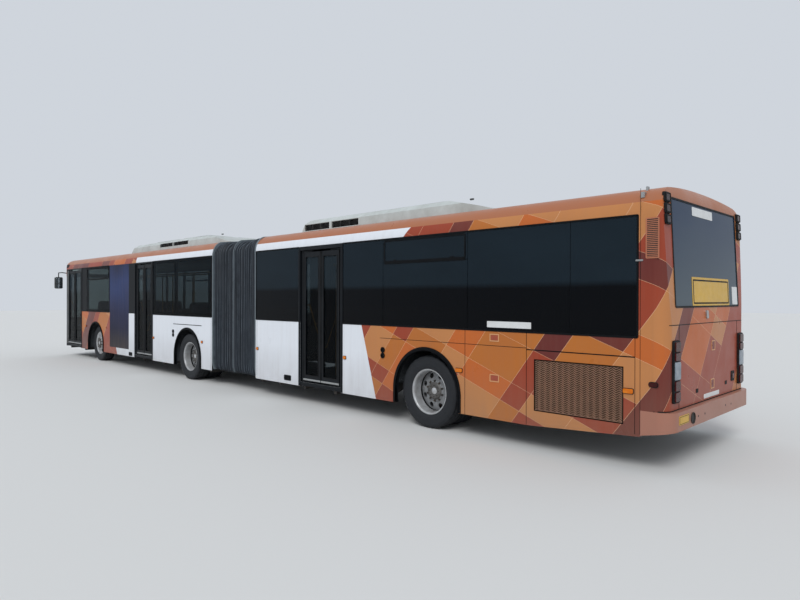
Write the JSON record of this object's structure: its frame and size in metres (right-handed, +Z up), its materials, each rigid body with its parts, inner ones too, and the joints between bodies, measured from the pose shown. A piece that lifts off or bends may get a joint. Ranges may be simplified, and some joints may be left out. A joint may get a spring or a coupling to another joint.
{
  "type": "articulated bus",
  "caption": "Low-floor articulated city bus with two saloon sections, folding bellows, turntable, inswinging doors and free wheels.",
  "frame": {"origin": "middle of the bounding box on the ground, on the bus's centre line", "axes": "+X forward, +Y to the bus's left (the door side), +Z up"},
  "size_m": [18.28, 2.91, 3.11],
  "materials": {
    "white_paint": "satin",
    "roof_paint": "satin",
    "roof_unit_paint": "matte",
    "side_glass": "tinted",
    "tyre": "matte",
    "wheel_paint": "satin",
    "chassis_paint": "matte",
    "cast_parts": "rough",
    "bellows_cloth": "matte",
    "floor_cover": "speckled",
    "seat_cloth": "woven",
    "handrail_paint": "gloss",
    "black_plastic": "textured",
    "lamp_lens": "gloss",
    "door_frame": "satin",
    "door_post": "brushed",
    "grille_mesh": "matte",
    "plate_steel": "chequered"
  },
  "bodies": {
    "front_section": {"front_left_side": "white_paint", "front_right_side": "white_paint", "front_roof": "roof_paint", "front_mask": "white_paint", "front_bumper": "white_paint", "windscreen": "side_glass", "front_section_windows": "side_glass", "front_floor": "floor_cover", "front_chassis": "chassis_paint", "front_axle_beam": "cast_parts", "middle_axle": "cast_parts", "front_seats": "seat_cloth", "front_handrails": "handrail_paint", "driver_seat": "seat_cloth", "dashboard": "black_plastic", "front_lamps": "lamp_lens", "mirrors": "black_plastic", "wipers": "black_plastic", "front_roof_unit": "roof_unit_paint", "turntable_upper": "chassis_paint", "passage_floor": "plate_steel", "bellows": "bellows_cloth"},
    "rear_section": {"rear_left_side": "white_paint", "rear_right_side": "white_paint", "rear_roof": "roof_paint", "rear_panel": "white_paint", "rear_bumper": "white_paint", "rear_window": "side_glass", "rear_section_windows": "side_glass", "rear_floor": "floor_cover", "rear_chassis": "chassis_paint", "drive_axle": "cast_parts", "engine": "cast_parts", "rear_seats": "seat_cloth", "rear_handrails": "handrail_paint", "rear_lamps": "lamp_lens", "radiator_grille": "grille_mesh", "rear_roof_unit": "roof_unit_paint", "turntable_lower": "chassis_paint"},
    "steering_wheel": {"steering_wheel": "black_plastic"},
    "left_knuckle": {"left_knuckle": "cast_parts"},
    "right_knuckle": {"right_knuckle": "cast_parts"},
    "front_left_wheel": {"front_left_wheel": "tyre"},
    "front_right_wheel": {"front_right_wheel": "tyre"},
    "middle_left_wheel": {"middle_left_wheel": "tyre"},
    "middle_right_wheel": {"middle_right_wheel": "tyre"},
    "rear_left_wheel": {"rear_left_wheel": "tyre"},
    "rear_right_wheel": {"rear_right_wheel": "tyre"},
    "rear_door_front_arm": {"rear_door_front_arm": "door_post"},
    "rear_door_front_leaf": {"rear_door_front_leaf": "door_frame"},
    "rear_door_rear_arm": {"rear_door_rear_arm": "door_post"},
    "rear_door_rear_leaf": {"rear_door_rear_leaf": "door_frame"},
    "middle_door_front_arm": {"middle_door_front_arm": "door_post"},
    "middle_door_front_leaf": {"middle_door_front_leaf": "door_frame"},
    "middle_door_rear_arm": {"middle_door_rear_arm": "door_post"},
    "middle_door_rear_leaf": {"middle_door_rear_leaf": "door_frame"},
    "front_door_front_arm": {"front_door_front_arm": "door_post"},
    "front_door_front_leaf": {"front_door_front_leaf": "door_frame"},
    "front_door_rear_arm": {"front_door_rear_arm": "door_post"},
    "front_door_rear_leaf": {"front_door_rear_leaf": "door_frame"}
  },
  "joints": [
    {"name": "articulation", "type": "hinge", "parent": "front_section", "child": "rear_section", "pos_m": [-1.0085, 0, 0.27], "axis": [0, 0, 1], "range_deg": [-48, 48], "deforming": ["bellows"]},
    {"name": "left_steering", "type": "hinge", "parent": "front_section", "child": "left_knuckle", "pos_m": [6.23, 0.87, 0.485], "axis": [0, 0, 1], "range_deg": [-45, 45]},
    {"name": "right_steering", "type": "hinge", "parent": "front_section", "child": "right_knuckle", "pos_m": [6.23, -0.87, 0.485], "axis": [0, 0, 1], "range_deg": [-45, 45]},
    {"name": "steering_wheel_turn", "type": "hinge", "parent": "front_section", "child": "steering_wheel", "pos_m": [8.15, -0.72, 1.3], "axis": [-0.5, 0, 0.866], "range_deg": [-810, 810]},
    {"name": "front_left_roll", "type": "hinge", "parent": "left_knuckle", "child": "front_left_wheel", "pos_m": [6.23, 1, 0.485], "axis": [0, 1, 0], "continuous": true},
    {"name": "front_right_roll", "type": "hinge", "parent": "right_knuckle", "child": "front_right_wheel", "pos_m": [6.23, -1, 0.485], "axis": [0, 1, 0], "continuous": true},
    {"name": "middle_left_roll", "type": "hinge", "parent": "front_section", "child": "middle_left_wheel", "pos_m": [0.85, 1, 0.485], "axis": [0, 1, 0], "continuous": true},
    {"name": "middle_right_roll", "type": "hinge", "parent": "front_section", "child": "middle_right_wheel", "pos_m": [0.85, -1, 0.485], "axis": [0, 1, 0], "continuous": true},
    {"name": "rear_left_roll", "type": "hinge", "parent": "rear_section", "child": "rear_left_wheel", "pos_m": [-5.945, 1, 0.485], "axis": [0, 1, 0], "continuous": true},
    {"name": "rear_right_roll", "type": "hinge", "parent": "rear_section", "child": "rear_right_wheel", "pos_m": [-5.945, -1, 0.485], "axis": [0, 1, 0], "continuous": true},
    {"name": "rear_door", "type": "hinge", "parent": "rear_section", "child": "rear_door_front_arm", "pos_m": [-3.188, 1.213, 1], "axis": [0, 0, 1], "range_deg": [0, 85]},
    {"name": "rear_door_front_leaf_turn", "type": "hinge", "parent": "rear_door_front_arm", "child": "rear_door_front_leaf", "pos_m": [-3.43275, 1.213, 1], "axis": [0, 0, 1], "range_deg": [-170, 0]},
    {"name": "rear_door_rear_post", "type": "hinge", "parent": "rear_section", "child": "rear_door_rear_arm", "pos_m": [-4.167, 1.213, 1], "axis": [0, 0, 1], "range_deg": [-85, 0]},
    {"name": "rear_door_rear_leaf_turn", "type": "hinge", "parent": "rear_door_rear_arm", "child": "rear_door_rear_leaf", "pos_m": [-3.92225, 1.213, 1], "axis": [0, 0, 1], "range_deg": [0, 170]},
    {"name": "middle_door", "type": "hinge", "parent": "front_section", "child": "middle_door_front_arm", "pos_m": [3.526, 1.213, 1], "axis": [0, 0, 1], "range_deg": [0, 85]},
    {"name": "middle_door_front_leaf_turn", "type": "hinge", "parent": "middle_door_front_arm", "child": "middle_door_front_leaf", "pos_m": [3.30225, 1.213, 1], "axis": [0, 0, 1], "range_deg": [-170, 0]},
    {"name": "middle_door_rear_post", "type": "hinge", "parent": "front_section", "child": "middle_door_rear_arm", "pos_m": [2.631, 1.213, 1], "axis": [0, 0, 1], "range_deg": [-85, 0]},
    {"name": "middle_door_rear_leaf_turn", "type": "hinge", "parent": "middle_door_rear_arm", "child": "middle_door_rear_leaf", "pos_m": [2.85475, 1.213, 1], "axis": [0, 0, 1], "range_deg": [0, 170]},
    {"name": "front_door", "type": "hinge", "parent": "front_section", "child": "front_door_front_arm", "pos_m": [8.57, 1.213, 1], "axis": [0, 0, 1], "range_deg": [0, 85]},
    {"name": "front_door_front_leaf_turn", "type": "hinge", "parent": "front_door_front_arm", "child": "front_door_front_leaf", "pos_m": [8.27825, 1.213, 1], "axis": [0, 0, 1], "range_deg": [-170, 0]},
    {"name": "front_door_rear_post", "type": "hinge", "parent": "front_section", "child": "front_door_rear_arm", "pos_m": [7.403, 1.213, 1], "axis": [0, 0, 1], "range_deg": [-85, 0]},
    {"name": "front_door_rear_leaf_turn", "type": "hinge", "parent": "front_door_rear_arm", "child": "front_door_rear_leaf", "pos_m": [7.69475, 1.213, 1], "axis": [0, 0, 1], "range_deg": [0, 170]}
  ],
  "couplings": [
    {"joint": "right_steering", "follows": "left_steering", "ratio": 1},
    {"joint": "steering_wheel_turn", "follows": "left_steering", "ratio": 18},
    {"joint": "rear_door_front_leaf_turn", "follows": "rear_door", "ratio": -2},
    {"joint": "rear_door_rear_post", "follows": "rear_door", "ratio": -1},
    {"joint": "rear_door_rear_leaf_turn", "follows": "rear_door", "ratio": 2},
    {"joint": "middle_door_front_leaf_turn", "follows": "middle_door", "ratio": -2},
    {"joint": "middle_door_rear_post", "follows": "middle_door", "ratio": -1},
    {"joint": "middle_door_rear_leaf_turn", "follows": "middle_door", "ratio": 2},
    {"joint": "front_door_front_leaf_turn", "follows": "front_door", "ratio": -2},
    {"joint": "front_door_rear_post", "follows": "front_door", "ratio": -1},
    {"joint": "front_door_rear_leaf_turn", "follows": "front_door", "ratio": 2}
  ]
}
